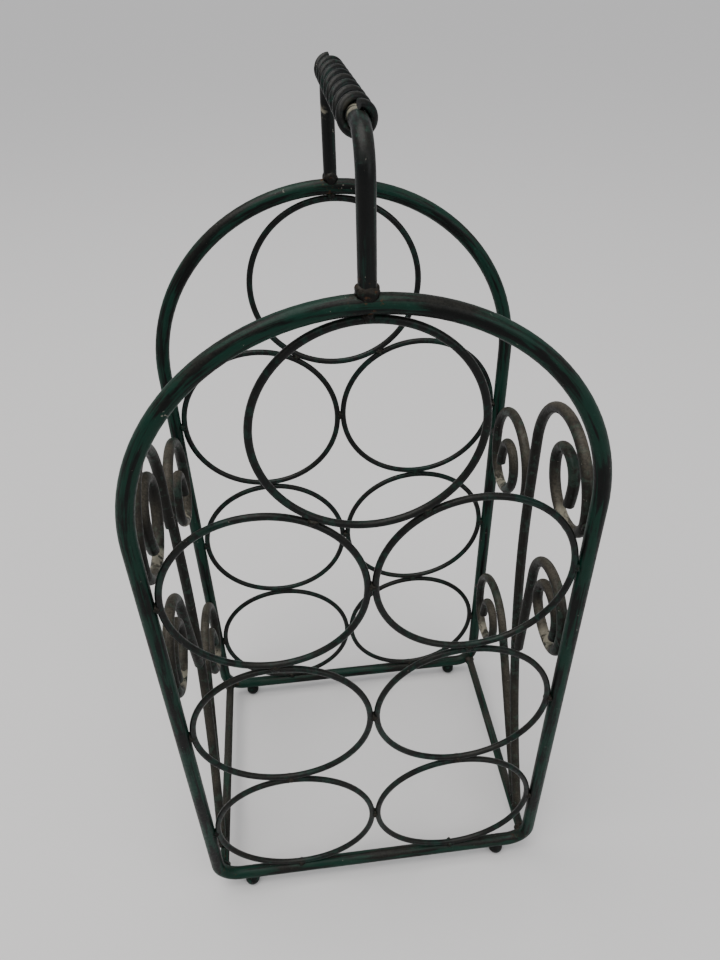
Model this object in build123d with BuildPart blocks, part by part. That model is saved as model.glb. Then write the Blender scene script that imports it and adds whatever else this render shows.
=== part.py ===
"""Seven-bottle wine rack: two arched hoops of round rod joined by rails, scrolls and a carrying handle.

Frame: millimetres, +Z up, +X to the right, front hoop towards -Y, and the origin on the floor
in the middle of the rack. Every piece is bent or straight rod, or a weld bead between rods.
"""

import os
from math import asin, cos, degrees, radians, sin, sqrt

from build123d import *

# Rods and wires, by diameter
hoop_rod = 8.0
ring_wire = 3.5
rail_rod = 6.0
scroll_rod = 6.0
handle_rod = 7.0
grip_wire = 3.3

# Bottle rings, in rows of two with one more on top
ring_outer = 100.0
ring_rows = 3

# Hoops
hoop_spacing = 156.0
hoop_corner_radius = 14.0

# Ball feet: each ball is flattened where it stands and notched where the rod sits in it
foot_ball = 9.5
foot_flat = 0.4
foot_bite = 1.0
foot_inset = 20.5

# Every joint is two rods this far apart, bridged by a weld bead
weld_gap = 0.2
ring_bead = 5.4
scroll_bead = 7.0
rail_bead = 9.0
handle_bead = 11.0

# Side panels: base rail, leaning stem and four scrolls, in one upright plane
side_inset = 1.0
rail_inset = 3.0
rail_rise = 4.0
rail_bead_inset = 4.0
stem_foot_setback = 18.0
stem_straight = 35.0

# Carrying handle
handle_rise = 56.5
handle_bend_radius = 15.0
grip_end_gap = 1.0
grip_turns = 9.0
grip_clearance = 0.05

# Ring and hoop places that follow from the sizes above
ring_pitch = ring_outer + weld_gap
hoop_half_width = ring_outer + 1.5 * weld_gap + hoop_rod / 2
hoop_y = hoop_spacing / 2
foot_centre_z = foot_ball / 2 - foot_flat
hoop_base_z = foot_centre_z + foot_ball / 2 - foot_bite + hoop_rod / 2
first_row_z = hoop_base_z + hoop_rod / 2 + weld_gap + ring_outer / 2
row_z = [first_row_z + row * ring_pitch for row in range(ring_rows)]
top_ring_z = row_z[-1] + ring_pitch * sqrt(3) / 2
arch_centre_z = top_ring_z + ring_outer / 2 + weld_gap + hoop_rod / 2 - hoop_half_width
arch_apex_z = arch_centre_z + hoop_half_width

# Side panel places
side_x = hoop_half_width - side_inset
rail_x = hoop_half_width - rail_inset
rail_z = hoop_base_z + rail_rise
rod_spacing = scroll_rod + weld_gap
touch_reach = (hoop_rod + scroll_rod) / 2 + weld_gap
touch_y = hoop_y - sqrt(touch_reach**2 - side_inset**2)
stem_foot_y = -hoop_y + stem_foot_setback
stem_foot_z = rail_z + rail_rod / 2 + weld_gap
handle_bar_z = arch_apex_z + handle_rise
grip_length = hoop_spacing - 2 * (handle_bend_radius + grip_end_gap)


class Scroll:
    """Sizes of one scroll: which hoop it touches, how high, and the bends that follow its crook."""

    def __init__(self, facing, touch_z, curl):
        self.facing = facing
        self.touch_z = touch_z
        self.curl = curl


FRONT, BACK = -1, 1

# Bends of each curl after its crook, as (radius, degrees)
big_curl = [(8.5, 30), (23.5, 150), (12.8, 180), (50.0, 14)]
small_curl = [(50.0, 8), (14.0, 82), (32.0, 35), (13.0, 55), (15.0, 180), (50.0, 8)]
wide_curl = [(13.0, 30), (26.5, 150), (15.2, 180), (40.0, 26)]
round_curl = [(48.0, 16), (18.0, 76), (19.4, 122), (10.5, 120), (40.0, 24)]

# The right stem runs on into the upper front scroll and the left stem into the upper back one
sides = {
    "right": {
        "plane": Plane.YZ.offset(side_x),
        "stem_y": 2.5,
        "stem_facing": FRONT,
        "upper_front": Scroll(FRONT, row_z[2] + 20.5, big_curl),
        "upper_back": Scroll(BACK, row_z[2] - 20.0, round_curl),
        "upper_foot": row_z[2] - 24.0,
        "lower_front_foot": row_z[1] - 30.0,
        "lower_front_lean": 3.0,
        "lower_back_foot": 12.5,
    },
    "left": {
        "plane": Plane.YZ.offset(-side_x),
        "stem_y": 6.5,
        "stem_facing": BACK,
        "upper_front": Scroll(FRONT, row_z[2] + 18.0, wide_curl),
        "upper_back": Scroll(BACK, row_z[2] - 23.5, round_curl),
        "upper_foot": row_z[2] - 16.0,
        "lower_front_foot": row_z[1] - 26.0,
        "lower_front_lean": 12.0,
        "lower_back_foot": 48.0,
    },
}
lower_front_leg = 70.0
lower_back_crook_radius = 31.0
lower_back_heading = 57.0

parts = {}


def finish(name, part):
    """Label one finished piece and keep it for the pieces that fit to it and for export."""
    part.label = name
    parts[name] = part


def add_rod(route, diameter):
    """Round rod along a chain of straight lines and arcs, straight by straight and bend by bend."""
    for edge in route.edges():
        with BuildSketch(Plane(origin=edge @ 0, z_dir=edge % 0)) as section:
            Circle(diameter / 2)
        if edge.geom_type == GeomType.LINE:
            extrude(section.sketch, amount=edge.length)
        else:
            pivot = edge.arc_center
            turn_axis = Axis(pivot, (edge @ 0 - pivot).cross(edge % 0))
            revolve(section.sketch, turn_axis, degrees(edge.length / edge.radius))


def add_curl(crook, scroll):
    """Carry a crook on into its curl, each bend tangent to the one before."""
    tip = crook
    for radius, angle in scroll.curl:
        tip = JernArc(tip @ 1, tip % 1, radius, -scroll.facing * angle)


def make_hoop(y):
    """Closed hoop: flat base, rounded lower corners, straight sides and a half-round arch."""
    straight = hoop_half_width - hoop_corner_radius
    with BuildPart() as hoop:
        with BuildLine(Plane.XZ.offset(-y)) as route:
            half_base = Line((0, hoop_base_z), (straight, hoop_base_z))
            corner = JernArc(half_base @ 1, half_base % 1, hoop_corner_radius, 90)
            side = Line(corner @ 1, (hoop_half_width, arch_centre_z))
            arch = JernArc(side @ 1, side % 1, hoop_half_width, 180)
            far_side = Line(arch @ 1, (-hoop_half_width, hoop_base_z + hoop_corner_radius))
            far_corner = JernArc(far_side @ 1, far_side % 1, hoop_corner_radius, 90)
            Line(far_corner @ 1, half_base @ 0)
        add_rod(route, hoop_rod)
    return hoop.part


def make_ring(x, y, z):
    """One bottle ring, standing in its hoop's plane."""
    with BuildPart() as ring:
        with Locations((x, y, z)):
            Torus((ring_outer - ring_wire) / 2, ring_wire / 2, rotation=(90, 0, 45))
    return ring.part


def ring_places():
    """Name and place of each ring in a hoop."""
    places = {}
    for row, z in enumerate(row_z, start=1):
        for side, x in (("left", -ring_pitch / 2), ("right", ring_pitch / 2)):
            places[f"row_{row}_{side}"] = (x, z)
    places["top"] = (0, top_ring_z)
    return places


def ring_weld_places(y):
    """Middle of each gap between two rings, or a ring and its hoop, with +Z across the gap."""
    half = ring_pitch / 2
    inner = hoop_half_width - hoop_rod / 2 - weld_gap / 2
    places = [Location((x, y, hoop_base_z + hoop_rod / 2 + weld_gap / 2)) for x in (-half, half)]
    for z in row_z:
        places += [Location((x, y, z), (0, 90, 0)) for x in (-inner, 0, inner)]
    for z in row_z[:-1]:
        places += [Location((x, y, z + half)) for x in (-half, half)]
    for x, lean in ((-half / 2, 30), (half / 2, -30)):
        places.append(Location((x, y, (row_z[-1] + top_ring_z) / 2), (0, lean, 0)))
    places.append(Location((0, y, arch_apex_z - hoop_rod / 2 - weld_gap / 2)))
    return places


def make_bead(place, diameter, joined):
    """One weld bead, cut to the rods that run into it."""
    with BuildPart() as bead:
        with Locations(place):
            Sphere(diameter / 2)
        for piece in joined:
            if parts[piece].distance_to(Vertex(*place.position)) < diameter / 2:
                add(parts[piece], mode=Mode.SUBTRACT)
    return bead.part


def make_beads(places, diameter, *joined):
    """Row of weld beads of one size."""
    cut_beads = [make_bead(Location(place), diameter, joined) for place in places]
    with BuildPart() as beads:
        add(cut_beads)
    return beads.part


def make_foot(x, y, hoop):
    """Ball foot with a flat to stand on and a notch for the hoop's base."""
    with BuildPart() as foot:
        with Locations((x, y, foot_centre_z)):
            Sphere(foot_ball / 2)
        split(bisect_by=Plane.XY, keep=Keep.TOP)
        add(parts[hoop], mode=Mode.SUBTRACT)
    return foot.part


def make_rail(x):
    """Straight base rail, coped to the hoops' lower corners."""
    with BuildPart() as rail:
        with BuildSketch(Plane.XZ):
            with Locations((x, rail_z)):
                Circle(rail_rod / 2)
        extrude(amount=hoop_y, both=True)
        add(parts["front_hoop"], mode=Mode.SUBTRACT)
        add(parts["back_hoop"], mode=Mode.SUBTRACT)
    return rail.part


def stem_scroll(side):
    """The upper scroll that a side's stem runs on into."""
    return side["upper_front"] if side["stem_facing"] == FRONT else side["upper_back"]


def stem_bend(side):
    """Radius of a side's stem bend, and the height where it ends upright."""
    bend_top_z = stem_scroll(side).touch_z - stem_straight
    run = side["stem_y"] - stem_foot_y
    rise = bend_top_z - rail_z
    return (run**2 + rise**2) / (2 * run), bend_top_z


def stem_point(side, z):
    """Place and heading in degrees of a side's stem at height z."""
    radius, bend_top_z = stem_bend(side)
    lean = asin(max(bend_top_z - z, 0) / radius)
    return side["stem_y"] - radius * (1 - cos(lean)), 90 - degrees(lean)


def make_stem(side):
    """Stem with its own upper scroll, in one length, sawn level to stand on the base rail."""
    scroll = stem_scroll(side)
    bend_radius, _ = stem_bend(side)
    foot_angle = stem_point(side, rail_z)[1]
    foot_heading = (cos(radians(foot_angle)), sin(radians(foot_angle)))
    with BuildPart() as stem:
        with BuildLine(side["plane"]) as route:
            bend = JernArc((stem_foot_y, rail_z), foot_heading, bend_radius, 90 - foot_angle)
            upright = Line(bend @ 1, (side["stem_y"], scroll.touch_z))
            crook_radius = (touch_y - scroll.facing * side["stem_y"]) / 2
            crook = JernArc(upright @ 1, upright % 1, crook_radius, -scroll.facing * 180)
            add_curl(crook, scroll)
        add_rod(route, scroll_rod)
        split(bisect_by=Plane.XY.offset(stem_foot_z), keep=Keep.TOP)
    return stem.part


def make_upper_scroll(side, scroll):
    """Second upper scroll, on an upright leg against the stem."""
    leg_y = side["stem_y"] + scroll.facing * rod_spacing
    with BuildPart() as piece:
        with BuildLine(side["plane"]) as route:
            upright = Line((leg_y, side["upper_foot"]), (leg_y, scroll.touch_z))
            crook_radius = (touch_y - scroll.facing * leg_y) / 2
            crook = JernArc(upright @ 1, upright % 1, crook_radius, -scroll.facing * 180)
            add_curl(crook, scroll)
        add_rod(route, scroll_rod)
    return piece.part


def lower_front_crook(side):
    """Start of the lower front scroll's leg on the stem, its crook's radius and its touch height."""
    stem_y, heading = stem_point(side, side["lower_front_foot"])
    start_y = stem_y - rod_spacing * sin(radians(heading))
    start_z = side["lower_front_foot"] + rod_spacing * cos(radians(heading))
    lean = radians(side["lower_front_lean"])
    crook_radius = (start_y - lower_front_leg * sin(lean) + touch_y) / (1 + cos(lean))
    touch_z = start_z + lower_front_leg * cos(lean) - crook_radius * sin(lean)
    return (start_y, start_z), crook_radius, touch_z


def make_lower_front_scroll(side):
    """Scroll on a leg that leans away from the stem towards the front hoop."""
    start, crook_radius, touch_z = lower_front_crook(side)
    lean = side["lower_front_lean"]
    with BuildPart() as piece:
        with BuildLine(side["plane"]) as route:
            leg = PolarLine(start, lower_front_leg, 90 + lean)
            crook = JernArc(leg @ 1, leg % 1, crook_radius, 180 - lean)
            add_curl(crook, Scroll(FRONT, touch_z, small_curl))
        add_rod(route, scroll_rod)
    return piece.part


def lower_back_leg(side):
    """Start of the lower back scroll's leg, its weld's place, its length and its touch height."""
    foot_z = hoop_base_z + side["lower_back_foot"]
    stem_y, heading = stem_point(side, foot_z)
    start_y = stem_y + rod_spacing * sin(radians(heading))
    start_z = foot_z - rod_spacing * cos(radians(heading))
    lean = radians(lower_back_heading)
    length = (touch_y - start_y - lower_back_crook_radius * (1 + sin(lean))) / cos(lean)
    touch_z = start_z + length * sin(lean) - lower_back_crook_radius * cos(lean)
    weld = ((start_y + stem_y) / 2, (start_z + foot_z) / 2)
    return (start_y, start_z), weld, length, touch_z


def make_lower_back_scroll(side):
    """Lowest scroll, on a leaning leg that leaves the stem near its foot."""
    start, _, length, touch_z = lower_back_leg(side)
    with BuildPart() as piece:
        with BuildLine(side["plane"]) as route:
            leg = PolarLine(start, length, lower_back_heading)
            crook = JernArc(leg @ 1, leg % 1, lower_back_crook_radius, -(lower_back_heading + 90))
            add_curl(crook, Scroll(BACK, touch_z, round_curl))
        add_rod(route, scroll_rod)
    return piece.part


def make_handle():
    """Handle rod: two posts on the arches and a bar between them."""
    with BuildPart() as handle:
        with BuildLine(Plane.YZ) as route:
            FilletPolyline(
                (-hoop_y, arch_apex_z),
                (-hoop_y, handle_bar_z),
                (hoop_y, handle_bar_z),
                (hoop_y, arch_apex_z),
                radius=handle_bend_radius,
            )
        add_rod(route, handle_rod)
        add(parts["front_hoop"], mode=Mode.SUBTRACT)
        add(parts["back_hoop"], mode=Mode.SUBTRACT)
    return handle.part


def make_grip():
    """Wire wound round the handle's bar in an open coil."""
    coil_radius = handle_rod / 2 + grip_clearance + grip_wire / 2
    with BuildPart() as grip:
        with BuildLine() as route:
            Helix(
                pitch=grip_length / grip_turns,
                height=grip_length,
                radius=coil_radius,
                center=(0, -grip_length / 2, handle_bar_z),
                direction=(0, 1, 0),
            )
        with BuildSketch(Plane(origin=route.line @ 0, z_dir=route.line % 0)):
            Circle(grip_wire / 2)
        sweep(path=route.wire(), is_frenet=True)
    return grip.part


# Hoops with their rings and ring welds
for end, y in (("front", -hoop_y), ("back", hoop_y)):
    hoop_name = f"{end}_hoop"
    finish(hoop_name, make_hoop(y))
    ring_names = []
    for place, (x, z) in ring_places().items():
        ring_names.append(f"{end}_ring_{place}")
        finish(ring_names[-1], make_ring(x, y, z))
    finish(f"{end}_ring_welds", make_beads(ring_weld_places(y), ring_bead, hoop_name, *ring_names))

# Ball feet
foot_x = hoop_half_width - foot_inset
for end, y in (("front", -hoop_y), ("back", hoop_y)):
    for side_name, x in (("left", -foot_x), ("right", foot_x)):
        finish(f"{end}_{side_name}_foot", make_foot(x, y, f"{end}_hoop"))

# Side panels
for side_name, side in sides.items():
    x = side["plane"].origin.X
    outward = 1 if x > 0 else -1
    rail_name = f"{side_name}_base_rail"
    finish(rail_name, make_rail(outward * rail_x))
    stem_name = f"{side_name}_stem_scroll"
    finish(stem_name, make_stem(side))

    lower_front_name = f"{side_name}_lower_front_scroll"
    finish(lower_front_name, make_lower_front_scroll(side))
    other_end = "back" if side["stem_facing"] == FRONT else "front"
    upper = side[f"upper_{other_end}"]
    upper_name = f"{side_name}_upper_{other_end}_scroll"
    finish(upper_name, make_upper_scroll(side, upper))
    lower_back_name = f"{side_name}_lower_back_scroll"
    finish(lower_back_name, make_lower_back_scroll(side))

    # Beads where scrolls touch the hoops, then where each foot meets the stem or the rail
    front_start, _, lower_front_touch_z = lower_front_crook(side)
    _, back_weld, _, lower_back_touch_z = lower_back_leg(side)
    touches = [(s.facing, s.touch_z) for s in (side["upper_front"], side["upper_back"])]
    touches += [(FRONT, lower_front_touch_z), (BACK, lower_back_touch_z)]
    bead_x = outward * (hoop_half_width + side_x) / 2
    beads = [(bead_x, facing * (touch_y + hoop_y) / 2, z) for facing, z in touches]
    half_gap = rod_spacing / 2
    beads.append((x, side["stem_y"] + upper.facing * half_gap, side["upper_foot"] + half_gap))
    beads.append((x, front_start[0] + half_gap, front_start[1] + half_gap))
    beads.append((x, *back_weld))
    beads.append((outward * (side_x + rail_x) / 2, stem_foot_y, stem_foot_z))
    scroll_names = [stem_name, lower_front_name, upper_name, lower_back_name]
    finish(
        f"{side_name}_scroll_welds",
        make_beads(beads, scroll_bead, "front_hoop", "back_hoop", rail_name, *scroll_names),
    )

rail_bead_y = hoop_y - rail_bead_inset
rail_beads = [
    Location((x, y, rail_z), (90, 0, 0))
    for x in (-rail_x, rail_x)
    for y in (-rail_bead_y, rail_bead_y)
]
finish(
    "rail_welds",
    make_beads(
        rail_beads, rail_bead, "front_hoop", "back_hoop", "left_base_rail", "right_base_rail"
    ),
)

# Handle
finish("handle_rod", make_handle())
finish("grip_coil", make_grip())
handle_beads = [(0, y, arch_apex_z + hoop_rod / 2) for y in (-hoop_y, hoop_y)]
finish("handle_welds", make_beads(handle_beads, handle_bead, "front_hoop", "back_hoop", "handle_rod"))

os.makedirs("parts", exist_ok=True)
for name, part in parts.items():
    export_step(part, f"parts/{name}.step")
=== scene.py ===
"""Worn green-black wine rack: procedural finishes, lumpy welds and a studio round the model."""

import math
import random

import bmesh
import bpy
from mathutils import Matrix, Vector, noise


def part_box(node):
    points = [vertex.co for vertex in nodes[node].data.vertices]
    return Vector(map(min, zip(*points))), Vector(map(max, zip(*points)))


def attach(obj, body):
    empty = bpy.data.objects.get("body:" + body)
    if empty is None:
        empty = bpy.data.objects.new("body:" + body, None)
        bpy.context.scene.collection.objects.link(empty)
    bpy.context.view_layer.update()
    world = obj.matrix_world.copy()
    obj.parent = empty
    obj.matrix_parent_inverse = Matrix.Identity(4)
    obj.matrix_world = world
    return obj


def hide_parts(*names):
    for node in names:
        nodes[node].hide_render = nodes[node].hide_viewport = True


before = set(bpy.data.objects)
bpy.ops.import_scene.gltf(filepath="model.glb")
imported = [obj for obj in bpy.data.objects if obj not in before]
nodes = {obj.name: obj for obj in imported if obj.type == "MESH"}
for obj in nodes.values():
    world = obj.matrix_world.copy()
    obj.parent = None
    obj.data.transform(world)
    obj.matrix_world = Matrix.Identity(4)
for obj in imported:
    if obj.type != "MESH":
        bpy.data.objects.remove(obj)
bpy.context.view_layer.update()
MM = 0.001

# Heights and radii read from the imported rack
hoop_low, hoop_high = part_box("front_hoop")
HOOP_ROD = hoop_high[1] - hoop_low[1]
ARCH_RADIUS = (hoop_high[0] - hoop_low[0] - HOOP_ROD) / 2
ARCH_Z = hoop_high[2] - HOOP_ROD / 2 - ARCH_RADIUS
BASE_Z = hoop_low[2] + HOOP_ROD / 2
FRONT_Y = (hoop_low[1] + hoop_high[1]) / 2
BACK_Y = -FRONT_Y
HANDLE_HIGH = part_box("handle_rod")[1]
HANDLE_ROD = HANDLE_HIGH[0] * 2
BAR_Z = HANDLE_HIGH[2] - HANDLE_ROD / 2
GRIP_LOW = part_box("grip_coil")[0]
ROW_2_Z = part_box("front_ring_row_2_left")[1][2]


class Finish:
    """One painted-steel material under construction, with short names for the nodes it uses."""

    def __init__(self, name):
        self.material = bpy.data.materials.new(name)
        self.material.use_nodes = True
        self.tree = self.material.node_tree
        self.shader = self.tree.nodes["Principled BSDF"]
        self.place = self.node("ShaderNodeTexCoord").outputs["Object"]
        split = self.node("ShaderNodeSeparateXYZ", Vector=self.place)
        self.x, self.y, self.z = split.outputs
        facing = self.node("ShaderNodeNewGeometry").outputs["Normal"]
        self.facing_up = self.node("ShaderNodeSeparateXYZ", Vector=facing).outputs["Z"]

    def node(self, kind, **inputs):
        """Add a node with its named inputs; an underscore stands for a space."""
        node = self.tree.nodes.new(kind)
        for key, value in inputs.items():
            self.feed(node.inputs[key.replace("_", " ")], value)
        return node

    def feed(self, socket, value):
        if isinstance(value, bpy.types.NodeSocket):
            self.tree.links.new(value, socket)
        else:
            socket.default_value = value

    def math(self, operation, *values, clamp=False):
        node = self.tree.nodes.new("ShaderNodeMath")
        node.operation = operation
        node.use_clamp = clamp
        for socket, value in zip(node.inputs, values):
            self.feed(socket, value)
        return node.outputs[0]

    def vector(self, x, y, z):
        return self.node("ShaderNodeCombineXYZ", X=x, Y=y, Z=z).outputs[0]

    def noise(self, vector, scale, detail=4.0, roughness=0.6, distortion=0.0):
        node = self.node(
            "ShaderNodeTexNoise",
            Vector=vector,
            Scale=scale,
            Detail=detail,
            Roughness=roughness,
            Distortion=distortion,
        )
        return node.outputs["Fac"]

    def step(self, value, low, high, to_low=0.0, to_high=1.0):
        """Smooth ramp from to_low to to_high as value goes from low to high."""
        node = self.tree.nodes.new("ShaderNodeMapRange")
        node.interpolation_type = "SMOOTHSTEP"
        for socket, item in zip(node.inputs, (value, low, high, to_low, to_high)):
            self.feed(socket, item)
        return node.outputs[0]

    def blend(self, factor, first, second):
        node = self.tree.nodes.new("ShaderNodeMix")
        node.data_type = "RGBA"
        self.feed(node.inputs["Factor"], factor)
        self.feed(node.inputs[6], first)
        self.feed(node.inputs[7], second)
        return node.outputs[2]

    def blend_vector(self, factor, first, second):
        node = self.tree.nodes.new("ShaderNodeMix")
        node.data_type = "VECTOR"
        self.feed(node.inputs["Factor"], factor)
        self.feed(node.inputs[4], first)
        self.feed(node.inputs[5], second)
        return node.outputs[1]

    def near(self, spots, radius):
        """1 close to any of the spots, falling to 0 at radius."""
        total = 0.0
        for spot in spots:
            away = self.tree.nodes.new("ShaderNodeVectorMath")
            away.operation = "DISTANCE"
            self.feed(away.inputs[0], self.place)
            away.inputs[1].default_value = spot
            close = self.step(away.outputs["Value"], radius * 0.45, radius, 1.0, 0.0)
            total = self.math("MAXIMUM", total, close)
        return total


# Streaks are drawn out lengthways by this much, and turn from rod to rod this far off a bend
LENGTHWAYS = 0.055
TURN_FROM = 5 * MM
TURN_TO = 9 * MM

# How far from its hoop a curl reaches
CURL_WIDTH = 44 * MM

# What shows where the paint has gone, and the pale cream of the patches set near given spots
PRIMER = (0.23, 0.215, 0.18, 1)
CREAM = (0.30, 0.275, 0.21, 1)
DARK_RUST = (0.030, 0.016, 0.009, 1)
BRIGHT_RUST = (0.120, 0.050, 0.018, 1)


def along_hoop(f):
    """Coordinates that run lengthways round the arch, down the sides and along the base."""
    above = f.math("MAXIMUM", f.math("SUBTRACT", f.z, ARCH_Z), 0.0)
    below = f.math("MAXIMUM", f.math("SUBTRACT", ARCH_Z, f.z), 0.0)
    across = f.math("ABSOLUTE", f.x)
    turn = f.math("MULTIPLY", f.math("ARCTAN2", across, above), ARCH_RADIUS)
    run = f.math("MULTIPLY", f.math("ADD", turn, below), f.math("SIGN", f.x))
    reach = f.math("SQRT", f.math("ADD", f.math("POWER", across, 2.0), f.math("POWER", above, 2.0)))
    round_arch = f.vector(f.math("MULTIPLY", run, LENGTHWAYS), reach, f.y)
    on_base = f.vector(f.math("MULTIPLY", f.x, LENGTHWAYS), f.z, f.y)
    is_base = f.step(f.z, BASE_Z + TURN_FROM, BASE_Z + TURN_TO, 1.0, 0.0)
    return f.blend_vector(is_base, round_arch, on_base)


def along_handle(f):
    """Coordinates that run lengthways up the posts and along the bar."""
    post = f.vector(f.math("MULTIPLY", f.z, LENGTHWAYS), f.x, f.y)
    bar = f.vector(f.math("MULTIPLY", f.y, LENGTHWAYS), f.x, f.z)
    is_bar = f.step(f.z, BAR_Z - TURN_TO, BAR_Z - TURN_FROM)
    return f.blend_vector(is_bar, post, bar)


def along_rail(f):
    """Coordinates that run lengthways along the base rails."""
    return f.vector(f.math("MULTIPLY", f.y, LENGTHWAYS), f.x, f.z)


def blotchy(f):
    """Plain coordinates, for finishes with no direction."""
    return f.place


def painted(
    name,
    streaks=blotchy,
    streak_scale=420.0,
    green=(0.0026, 0.0225, 0.0145, 1),
    pale_green=(0.016, 0.050, 0.035, 1),
    black=(0.0016, 0.0021, 0.0020, 1),
    black_from=0.45,
    dust=(0.105, 0.098, 0.080, 1),
    dust_amount=0.16,
    rust_spots=(),
    rust_reach=9 * MM,
    cream_spots=(),
    cream_reach=5 * MM,
    gloss=0.42,
    specular=0.07,
    bump=0.35,
):
    """Green paint rubbed with black: lengthways streaks, dust on top, chips, rust, worn-thin
    patches and pale cream patches.
    """
    f = Finish(name)
    grain = streaks(f)
    streak = f.noise(grain, streak_scale, 5.0, 0.65, 0.3)
    patch = f.noise(f.place, 38.0, 3.0, 0.55)
    mottle = f.noise(f.place, 520.0, 4.0, 0.7)

    # Black rubbed over green, heavier in some stretches than in others
    cover = f.math("ADD", streak, f.math("MULTIPLY", f.math("SUBTRACT", patch, 0.5), 0.55))
    rubbed = f.step(cover, black_from, black_from + 0.13)
    colour = f.blend(rubbed, green, black)

    # Paler green where the black has worn thin
    thin = f.math("MULTIPLY", f.step(mottle, 0.56, 0.70), f.step(streak, 0.50, 0.36))
    colour = f.blend(f.math("MULTIPLY", thin, 0.75), colour, pale_green)

    # Dust that has settled on what faces up
    settled = f.math("MULTIPLY", f.step(f.facing_up, -0.1, 0.9), f.step(patch, 0.28, 0.62))
    grainy = f.step(f.noise(f.place, 900.0, 3.0, 0.7), 0.32, 0.62, 0.45, 1.0)
    settled = f.math("MULTIPLY", f.math("MULTIPLY", settled, grainy), dust_amount)
    colour = f.blend(settled, colour, dust)

    # Small chips down to primer
    chip = f.step(f.noise(f.place, 420.0, 2.0, 0.5, 0.8), 0.745, 0.765)
    colour = f.blend(f.math("MULTIPLY", chip, 0.65), colour, PRIMER)

    if rust_spots:
        rusty = f.step(f.noise(f.place, 330.0, 5.0, 0.7), 0.56, 0.66)
        rusty = f.math("MULTIPLY", rusty, f.near(rust_spots, rust_reach))
        rust = f.blend(mottle, DARK_RUST, BRIGHT_RUST)
        colour = f.blend(f.math("MULTIPLY", rusty, 0.7), colour, rust)
    # Pale cream patches near the given spots
    if cream_spots:
        pale_patch = f.step(f.noise(f.place, 210.0, 4.0, 0.6, 0.6), 0.44, 0.54)
        pale_patch = f.math("MULTIPLY", pale_patch, f.near(cream_spots, cream_reach))
        colour = f.blend(f.math("MULTIPLY", pale_patch, 0.6), colour, CREAM)

    f.feed(f.shader.inputs["Base Color"], colour)
    rough = f.step(mottle, 0.3, 0.7, gloss - 0.09, gloss + 0.12)
    rough = f.math("ADD", rough, f.math("MULTIPLY", settled, 0.35), clamp=True)
    f.feed(f.shader.inputs["Roughness"], rough)
    f.shader.inputs["Specular IOR Level"].default_value = specular
    f.shader.inputs["Coat Weight"].default_value = 0.10
    f.shader.inputs["Coat Roughness"].default_value = 0.24

    # Brush drag, a hammered unevenness, and the step down into each chip
    drag = f.math("MULTIPLY", streak, 0.55)
    dents = f.math("MULTIPLY", f.noise(f.place, 150.0, 3.0, 0.55), 1.3)
    height = f.math("ADD", f.math("ADD", drag, dents), f.math("MULTIPLY", mottle, 0.35))
    height = f.math("SUBTRACT", height, f.math("MULTIPLY", chip, 0.5))
    relief = f.node("ShaderNodeBump", Strength=bump, Distance=0.6 * MM, Height=height)
    f.feed(f.shader.inputs["Normal"], relief.outputs["Normal"])
    return f.material


def islands(node):
    """Middle and half-size of each separate lump in a CAD node."""
    mesh = bmesh.new()
    mesh.from_mesh(nodes[node].data)
    bmesh.ops.remove_doubles(mesh, verts=mesh.verts, dist=0.001 * MM)
    left = set(mesh.verts)
    found = []
    while left:
        queue = [left.pop()]
        group = []
        while queue:
            vert = queue.pop()
            group.append(vert.co.copy())
            for edge in vert.link_edges:
                other = edge.other_vert(vert)
                if other in left:
                    left.remove(other)
                    queue.append(other)
        low = Vector([min(c[i] for c in group) for i in range(3)])
        high = Vector([max(c[i] for c in group) for i in range(3)])
        found.append(((low + high) / 2, (high - low) / 2))
    mesh.free()
    return sorted(found, key=lambda lump: tuple(round(v, 5) for v in lump[0]))


def add_piece(name, mesh_data, material, slot, *replaced):
    """Link a finished bmesh as one smooth piece of the rack."""
    mesh = bpy.data.meshes.new(name)
    mesh_data.to_mesh(mesh)
    mesh_data.free()
    for polygon in mesh.polygons:
        polygon.use_smooth = True
    piece = bpy.data.objects.new(name, mesh)
    piece.data.materials.append(material)
    bpy.context.scene.collection.objects.link(piece)
    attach(piece, "root")
    if replaced:
        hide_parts(*replaced)
    return piece


LUMP_DETAIL = 4


def add_lump(target, middle, radii, seed, roughness):
    """One weld: a ball pushed out of round by two sizes of noise."""
    made = bmesh.ops.create_icosphere(target, subdivisions=LUMP_DETAIL, radius=1.0)
    offset = Vector((seed * 3.71, seed * 1.93, seed * 5.17))
    for vert in made["verts"]:
        direction = vert.co.normalized()
        swell = noise.noise(direction * 1.3 + offset) * roughness * 1.5
        ripple = noise.noise(direction * 3.6 - offset) * roughness * 0.7
        size = 1.0 + swell + ripple
        vert.co = Vector([middle[i] + direction[i] * radii[i] * size for i in range(3)])


def make_welds(name, node, material, grow, seed, roughness):
    """Lumpy welds where a CAD node has its beads."""
    shape = bmesh.new()
    for count, (middle, half) in enumerate(islands(node)):
        bead = max(half) * grow
        random.seed(seed * 100 + count)
        radii = [bead * random.uniform(0.84, 1.04) for _ in range(3)]
        add_lump(shape, middle, radii, seed * 10 + count, roughness)
    return add_piece(name, shape, material, "weld_paint", node)


def curl_bottom(name, floor_z):
    """Lowest place of a scroll's curl: the lowest vertex above floor_z on the hoop's side of it."""
    node = nodes[name]
    placed = [node.matrix_world @ vert.co for vert in node.data.vertices]
    side = -1 if "front" in name or name == "right_stem_scroll" else 1
    reach = max(place.y * side for place in placed) - CURL_WIDTH
    return min((p for p in placed if p.y * side > reach and p.z > floor_z), key=lambda p: p.z)
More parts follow.
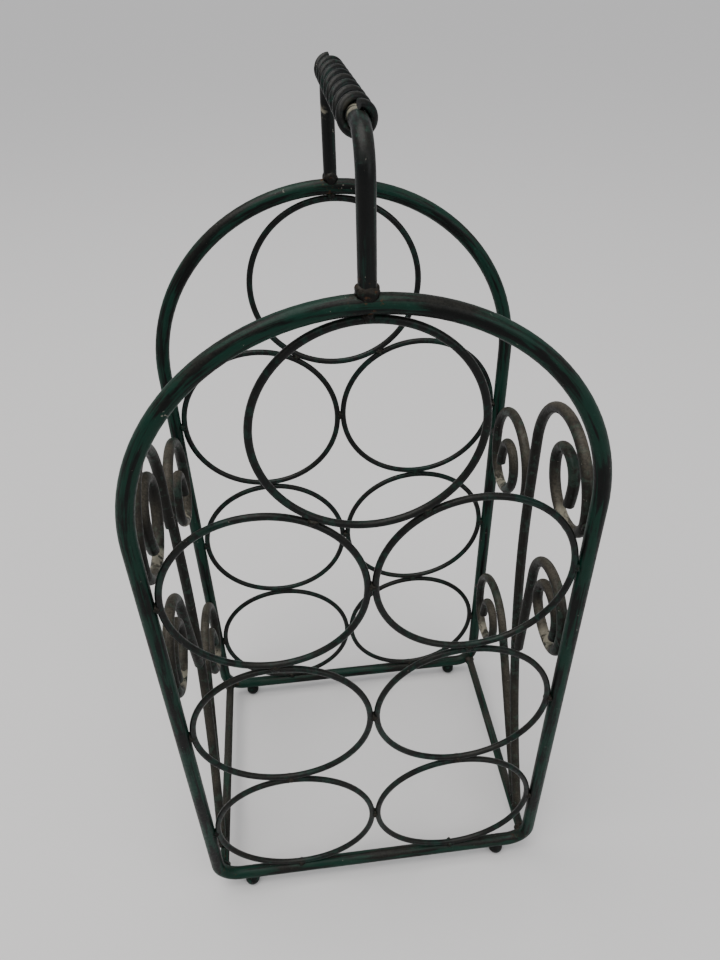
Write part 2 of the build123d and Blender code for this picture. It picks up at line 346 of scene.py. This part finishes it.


# Where paint has failed to rust, at the base corners and round the handle's posts, and where pale
# cream patches go, under the curls, at the grip's front and on the back post
side_x = hoop_high[0] - HOOP_ROD
post_feet = [(0, y, hoop_high[2]) for y in (FRONT_Y, BACK_Y)]
base_corners = [(x, y, BASE_Z + 4 * MM) for x in (-side_x, side_x) for y in (FRONT_Y, BACK_Y)]
curl_bottoms = []
for name in sorted(n for n in nodes if n.endswith("_scroll")):
    curl_bottoms.append(curl_bottom(name, 0.0 if "lower" in name else ROW_2_Z))
grip_front = [(0, GRIP_LOW[1] + 8 * MM, BAR_Z + HANDLE_ROD / 2)]
back_post = [(-HANDLE_ROD / 2, BACK_Y, BAR_Z - 22 * MM)]

hoop_paint = painted(
    "hoop_green_black", along_hoop, rust_spots=base_corners + post_feet, rust_reach=11 * MM
)
ring_paint = painted(
    "ring_green_black", green=(0.0026, 0.0150, 0.0105, 1), black_from=0.38, streak_scale=260.0,
    dust_amount=0.14, gloss=0.38, specular=0.12, bump=0.3,
)
rail_paint = painted(
    "rail_green_black", along_rail, black_from=0.40, dust_amount=0.3, rust_spots=base_corners,
    rust_reach=16 * MM,
)
foot_paint = painted("foot_green_black", black_from=0.34, dust_amount=0.1)
scroll_paint = painted(
    "scroll_dusty_black",
    streak_scale=240.0,
    green=(0.014, 0.026, 0.020, 1),
    pale_green=(0.040, 0.050, 0.040, 1),
    black=(0.0075, 0.0072, 0.0062, 1),
    black_from=0.36,
    dust=(0.105, 0.092, 0.070, 1),
    dust_amount=0.62,
    cream_spots=curl_bottoms,
    cream_reach=13 * MM,
    gloss=0.50,
    bump=0.45,
)
handle_paint = painted(
    "handle_black_green",
    along_handle,
    green=(0.0026, 0.0150, 0.0105, 1),
    black_from=0.36,
    dust_amount=0.14,
    rust_spots=post_feet,
    rust_reach=9 * MM,
    cream_spots=grip_front + back_post,
    cream_reach=6 * MM,
    gloss=0.36,
    specular=0.12,
)
weld_paint = painted(
    "weld_dark_brown",
    green=(0.006, 0.020, 0.014, 1),
    black=(0.0040, 0.0036, 0.0030, 1),
    black_from=0.36,
    dust=(0.080, 0.066, 0.050, 1),
    dust_amount=0.35,
    rust_spots=base_corners + post_feet,
    rust_reach=9 * MM,
    gloss=0.46,
    bump=0.6,
)

for name, node in nodes.items():
    if name.endswith("_hoop"):
        finish = hoop_paint
    elif "_ring_row" in name or name.endswith("_ring_top"):
        finish = ring_paint
    elif name.endswith("_rail"):
        finish = rail_paint
    elif name.endswith("_foot"):
        finish = foot_paint
    elif name.endswith("_scroll"):
        finish = scroll_paint
    elif name in ("handle_rod", "grip_coil"):
        finish = handle_paint
    else:
        finish = weld_paint
    node.data.materials.clear()
    node.data.materials.append(finish)

for seed, (piece, node, grow, roughness) in enumerate(
    (
        ("front_ring_weld_lumps", "front_ring_welds", 1.0, 0.2),
        ("back_ring_weld_lumps", "back_ring_welds", 1.0, 0.2),
        ("left_scroll_weld_lumps", "left_scroll_welds", 1.0, 0.22),
        ("right_scroll_weld_lumps", "right_scroll_welds", 1.0, 0.22),
        ("rail_weld_lumps", "rail_welds", 0.92, 0.2),
        ("handle_weld_lumps", "handle_welds", 0.86, 0.09),
    ),
    start=1,
):
    make_welds(piece, node, weld_paint, grow, seed, roughness)

# Camera at the height and slant of a person standing in front of the counter
FOCAL_MM = 27.39
SENSOR_MM = 36.0
YAW, PITCH, ROLL = 0.102, 0.638, 0.025
EYE = Vector((-29.34, -322.89, 512.35)) * MM
forward = Vector(
    (math.sin(YAW) * math.cos(PITCH), math.cos(YAW) * math.cos(PITCH), -math.sin(PITCH))
)
level = Vector((math.cos(YAW), -math.sin(YAW), 0))
lower = forward.cross(level)
right = math.cos(ROLL) * level + math.sin(ROLL) * lower
down = -math.sin(ROLL) * level + math.cos(ROLL) * lower
camera_data = bpy.data.cameras.new("camera")
camera_data.sensor_fit = "VERTICAL"
camera_data.sensor_height = SENSOR_MM
camera_data.lens = FOCAL_MM
camera_data.clip_start = 0.01
camera = bpy.data.objects.new("camera", camera_data)
turn = Matrix((right, -down, -forward)).transposed()
camera.matrix_world = Matrix.Translation(EYE) @ turn.to_4x4()
bpy.context.scene.collection.objects.link(camera)
bpy.context.scene.camera = camera

# Pale floor, soft light from above and the front
floor_mesh = bpy.data.meshes.new("floor")
FLOOR = 30.0
floor_corners = [(-FLOOR, -FLOOR, 0), (FLOOR, -FLOOR, 0), (FLOOR, FLOOR, 0), (-FLOOR, FLOOR, 0)]
floor_mesh.from_pydata(floor_corners, [], [(0, 1, 2, 3)])
floor = bpy.data.objects.new("floor", floor_mesh)
floor_paint = bpy.data.materials.new("floor_pale")
floor_paint.use_nodes = True
floor_shader = floor_paint.node_tree.nodes["Principled BSDF"]
floor_shader.inputs["Base Color"].default_value = (0.66, 0.645, 0.635, 1)
floor_shader.inputs["Roughness"].default_value = 0.75
floor_mesh.materials.append(floor_paint)
bpy.context.scene.collection.objects.link(floor)


def add_light(name, place, target, size, energy, colour):
    """Link a square area light that faces its target."""
    light = bpy.data.lights.new(name, "AREA")
    light.shape = "SQUARE"
    light.size = size
    light.energy = energy
    light.color = colour
    lamp = bpy.data.objects.new(name, light)
    aim = Vector(target) - Vector(place)
    lamp.location = place
    lamp.rotation_euler = aim.to_track_quat("-Z", "Y").to_euler()
    bpy.context.scene.collection.objects.link(lamp)


add_light("ceiling", (-0.5, -0.1, 1.9), (0, 0, 0.2), 1.5, 20, (1.0, 0.98, 0.95))
add_light("window", (1.2, -1.3, 1.1), (0, 0, 0.2), 1.2, 8, (0.95, 0.98, 1.0))
daylight = bpy.data.lights.new("daylight", "SUN")
daylight.energy = 1.5
daylight.angle = math.radians(70)
sun = bpy.data.objects.new("daylight", daylight)
sun.rotation_euler = (math.radians(12), math.radians(-10), 0)
bpy.context.scene.collection.objects.link(sun)
world = bpy.data.worlds.new("studio")
world.use_nodes = True
world.node_tree.nodes["Background"].inputs["Color"].default_value = (0.86, 0.88, 0.92, 1)
world.node_tree.nodes["Background"].inputs["Strength"].default_value = 0.55
bpy.context.scene.world = world

bpy.context.view_layer.update()
